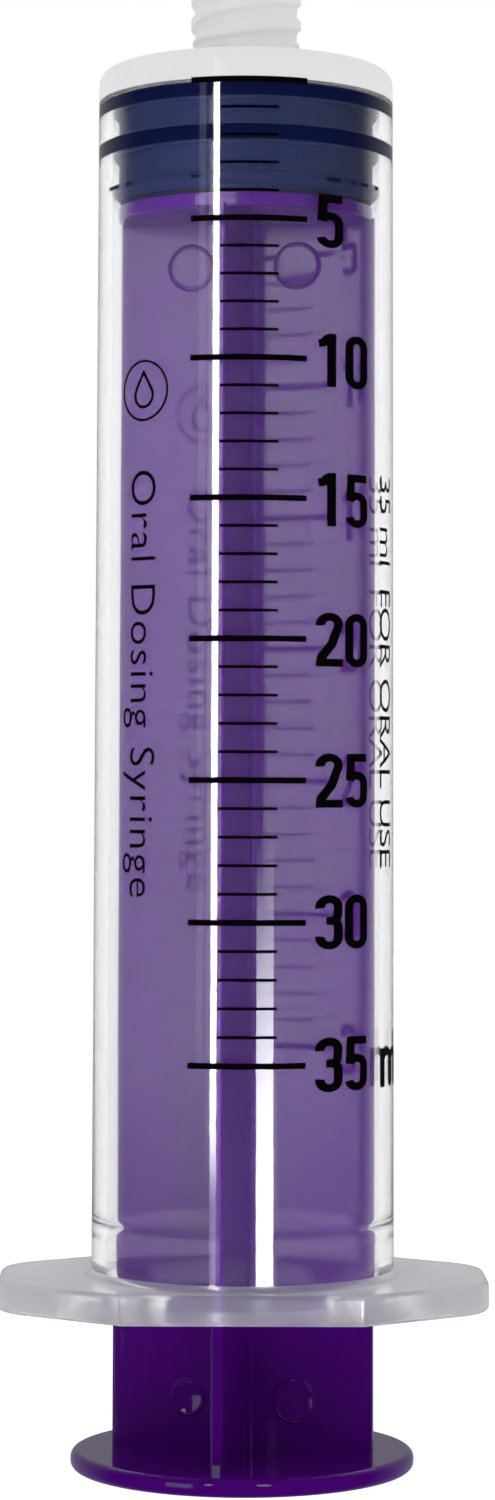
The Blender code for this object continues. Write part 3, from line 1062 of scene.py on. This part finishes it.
# a line of text as a slab 1 mm deep, turned to read downwards with the letters' tops to the right
def letterSolid(text, size, spacing, thin):
    halfDepth = 0.5 * mm
    curve = bpy.data.curves.new("letters", "FONT")
    curve.body = text
    curve.size = size * mm
    curve.space_character = spacing
    curve.offset = thin * size * mm
    curve.extrude = halfDepth
    curve.resolution_u = 4
    writing = newObject("letters", curve)
    mesh = evaluatedMesh(writing)
    bpy.data.objects.remove(writing, do_unlink=True)
    mesh.transform(Matrix.Translation((0, 0, halfDepth)))
    mesh.transform(Matrix.Rotation(-math.pi / 2, 4, "Z"))
    mesh.materials.clear()
    mesh.materials.append(ink)
    return newObject("letters", mesh)


def makeWording():
    size = wordingSizes
    lines = []
    for side in ("left", "right"):
        letters = letterSolid(size[side + "Text"], *size[side + "Letters"], size["thin"])
        lines.append(wrapOnBarrel(letters, size[side + "Base"], zeroMark - size[side + "Top"]))
    joinPrints("plainWording", lines)


def makeDropSign():
    size = wordingSizes
    aside, below = size["signCentre"]
    reach, pen = size["signReach"], size["signPen"]
    sides = 64
    ring = arc((0, 0), reach, 0, 360 - 360 / sides, sides - 1)
    drop = [(0.0, reach * 0.62)] + arc((0, -reach * 0.16), reach * 0.40, 35, -215, 22)
    pieces = [finishMesh("sign", strokeSolid(ring, pen, True), ink),
              finishMesh("sign", strokeSolid(drop, pen * 1.3, True), ink)]
    joinPrints("dropSign", [wrapOnBarrel(piece, aside, zeroMark - below) for piece in pieces])


makeWording()
makeDropSign()
print("wording printed")

studioSizes = {
    "floorReach": 3000.0,
    "floorLevel": -88.0,  # clear of the thumb disc when the plunger is drawn right out
    "floorGlow": 0.2,
    "surround": 1.0,
    "seenThrough": 1.1,
    "fillLevel": 0.8,
    "fillAbove": 1.2,
    "insideGain": 0.7,
    "flangeShade": 0.0,
    "flangeShadeRise": (0.0, 0.45),
    "mirroredAhead": 0.01,
    "mirroredBehind": 0.31,
    "mirroredTurn": (0.0, 0.7),
    "wallTurn": (0.3, 0.65),
    "sheenLevel": 3.6,
    "sheenWindow": (-43.0, -10.0),  # degrees round from the front
    "sheenEdge": 0.05,
    "sheenFade": (-0.15, -0.09),
    "sheenDim": 0.55,
}


def makeFloor():
    material, tree, shader = newMaterial("paleFloor")
    cloud = objectNoise(tree, 8.0, 3.0)
    feed(tree, shader, {
        "Base Color": blendColours(tree, cloud, (0.93, 0.93, 0.93), (0.95, 0.95, 0.95)),
        "Roughness": 0.7,
        "Specular IOR Level": 0.2,
        "Emission Color": (1.0, 1.0, 1.0, 1.0),
        "Emission Strength": studioSizes["floorGlow"],
    })
    builder = bmesh.new()
    bmesh.ops.create_grid(builder, x_segments=8, y_segments=8, size=studioSizes["floorReach"])
    bmesh.ops.translate(builder, vec=(0, 0, studioSizes["floorLevel"]), verts=builder.verts)
    floor = finishMesh("floor", builder, material)
    floor.visible_glossy = False
    floor.visible_transmission = False


# white where it is seen directly or through the clear barrel, dim where it is mirrored
def makeSurround():
    world = bpy.data.worlds.new("surround")
    scene.world = world
    world.use_nodes = True
    world.cycles.sampling_method = "NONE"  # light paths find it, so its level can follow what a ray has met
    tree = world.node_tree
    tree.nodes.clear()
    path = addNode(tree, "ShaderNodeLightPath").outputs
    side, ahead, up = partsOf(tree, addNode(tree, "ShaderNodeTexCoord").outputs["Generated"])
    size = studioSizes

    def choose(test, yes, no):
        return outputOf(tree, "ShaderNodeMix", {0: test, 2: no, 3: yes}, data_type="FLOAT")

    def atLeast(depth, count):
        return mathNode(tree, "GREATER_THAN", path[depth + " Depth"], count - 0.5)

    def fewerThan(depth, count):
        return mathNode(tree, "LESS_THAN", path[depth + " Depth"], count - 0.5)

    mirrored = smoothRamp(tree, ahead, *size["mirroredTurn"], size["mirroredAhead"], size["mirroredBehind"])
    insideWall = smoothRamp(tree, ahead, *size["wallTurn"], size["mirroredAhead"], size["seenThrough"])
    turned = mathNode(tree, "ARCTAN2", side, times(tree, ahead, -1.0))
    left, right = (math.radians(edge) for edge in size["sheenWindow"])
    window = times(tree, smoothRamp(tree, turned, left - size["sheenEdge"], left),
                   smoothRamp(tree, turned, right, right + size["sheenEdge"], 1.0, 0.0))
    window = times(tree, window, smoothRamp(tree, up, *size["sheenFade"], size["sheenDim"], 1.0))
    sheen = plus(tree, insideWall, times(tree, window, size["sheenLevel"]))
    fromRod = atLeast("Transmission", 3)
    through = choose(fewerThan("Glossy", 1), size["seenThrough"], choose(fromRod, sheen, insideWall))
    clear = choose(path["Is Transmission Ray"], through, mirrored)

    within = atLeast("Transmission", 1)
    beneath = times(tree, within, fewerThan("Transmission", 4))
    shaded = smoothRamp(tree, up, *size["flangeShadeRise"], 1.0, size["flangeShade"])
    shade = choose(beneath, shaded, 1.0)  # little light comes down through the flange
    fill = smoothRamp(tree, up, 0.0, 1.0, size["fillLevel"], size["fillAbove"])
    fill = times(tree, times(tree, fill, shade), plus(tree, 1.0, times(tree, within, size["insideGain"])))
    level = choose(path["Is Camera Ray"], size["surround"], choose(atLeast("Diffuse", 1), fill, clear))
    white = outputOf(tree, "ShaderNodeBackground", {"Color": (1.0, 1.0, 1.0, 1.0), "Strength": level})
    feed(tree, addNode(tree, "ShaderNodeOutputWorld"), {"Surface": white})


# azimuth is in degrees from the camera's side and glare is the brightness seen in a reflection; fade
# gives the shares of the lamp's height at which it is dimmest and at which it is at full brightness
lampSizes = {
    "leftStrip": {"azimuth": -21.1, "low": -6.0, "high": 155.0, "width": 8.8,
                  "glare": 30.0, "shinesOn": barrel, "fade": (0.11, 0.19), "dimmest": 0.1},
    "dimStrip": {"azimuth": -31.5, "low": 22.0, "high": 155.0, "width": 10.0,
                 "glare": 0.9, "shinesOn": barrel, "fade": (0.0, 0.12)},
    "rightStrip": {"azimuth": 15.3, "low": -8.0, "high": 60.0, "width": 23.5,
                   "glare": 26.0, "shinesOn": barrel, "fade": (0.92, 0.3)},
    "leftGlint": {"azimuth": -21.1, "low": 14.0, "high": 60.0, "width": 8.0,
                  "glare": 3.5, "shinesOn": rod},
    "rightGlint": {"azimuth": 14.0, "low": 14.0, "high": 60.0, "width": 14.0,
                   "glare": 3.5, "shinesOn": rod},
    "padGlow": {"azimuth": -40.0, "distance": 150.0, "low": -26.0, "high": 46.0, "width": 46.0,
                "glare": 1.2, "shinesOn": rod},
}


# an upright lamp between two heights that faces the axis and shows only as a highlight on one piece
def addLamp(name, azimuth, low, high, width, glare, shinesOn, distance=110.0, fade=None, dimmest=0.0):
    lamp = bpy.data.lights.new(name, "AREA")
    lamp.shape = "RECTANGLE"
    lamp.size = width * mm
    lamp.size_y = (high - low) * mm
    lamp.energy = glare * math.pi * lamp.size * lamp.size_y
    if fade is not None:
        lamp.use_nodes = True
        tree = lamp.node_tree
        upward = partsOf(tree, addNode(tree, "ShaderNodeNewGeometry").outputs["Parametric"])[1]
        feed(tree, tree.nodes["Emission"], {"Strength": smoothRamp(tree, upward, *fade, dimmest)})
    holder = newObject(name, lamp)
    angle = math.radians(azimuth)
    out = Vector((math.sin(angle), -math.cos(angle), 0.0))
    holder.location = (out * distance + Vector((0, 0, (low + high) / 2))) * mm
    holder.rotation_mode = "QUATERNION"
    holder.rotation_quaternion = out.to_track_quat("Z", "Y")
    holder.visible_camera = False
    holder.visible_diffuse = False
    holder.visible_transmission = False
    keep = bpy.data.collections.new(name + "Shines")
    keep.objects.link(shinesOn)
    holder.light_linking.receiver_collection = keep


makeFloor()
makeSurround()
for lampName, lampValues in lampSizes.items():
    addLamp(lampName, **lampValues)

cameraSizes = {
    "distance": 311.19,
    "eyeBelowZero": 59.85,
    "pitch": 4.1,
    "roll": 0.169,
    "lens": 86.46,
    "shiftX": 0.00187,
    "shiftY": -0.1425,
}


def makeCamera():
    size = cameraSizes
    camera = newObject("camera", bpy.data.cameras.new("camera"))
    camera.data.lens = size["lens"]
    camera.data.sensor_width = 36.0
    camera.data.shift_x = size["shiftX"]
    camera.data.shift_y = size["shiftY"]
    camera.data.clip_start = 0.01
    camera.data.clip_end = 20.0
    camera.location = Vector((0.0, -size["distance"], zeroMark - size["eyeBelowZero"])) * mm
    level = Matrix.Rotation(math.radians(90.0 + size["pitch"]), 4, "X")
    camera.rotation_euler = (level @ Matrix.Rotation(math.radians(size["roll"]), 4, "Z")).to_euler()
    scene.camera = camera


makeCamera()
scene.view_settings.view_transform = "Standard"
print("studio ready")
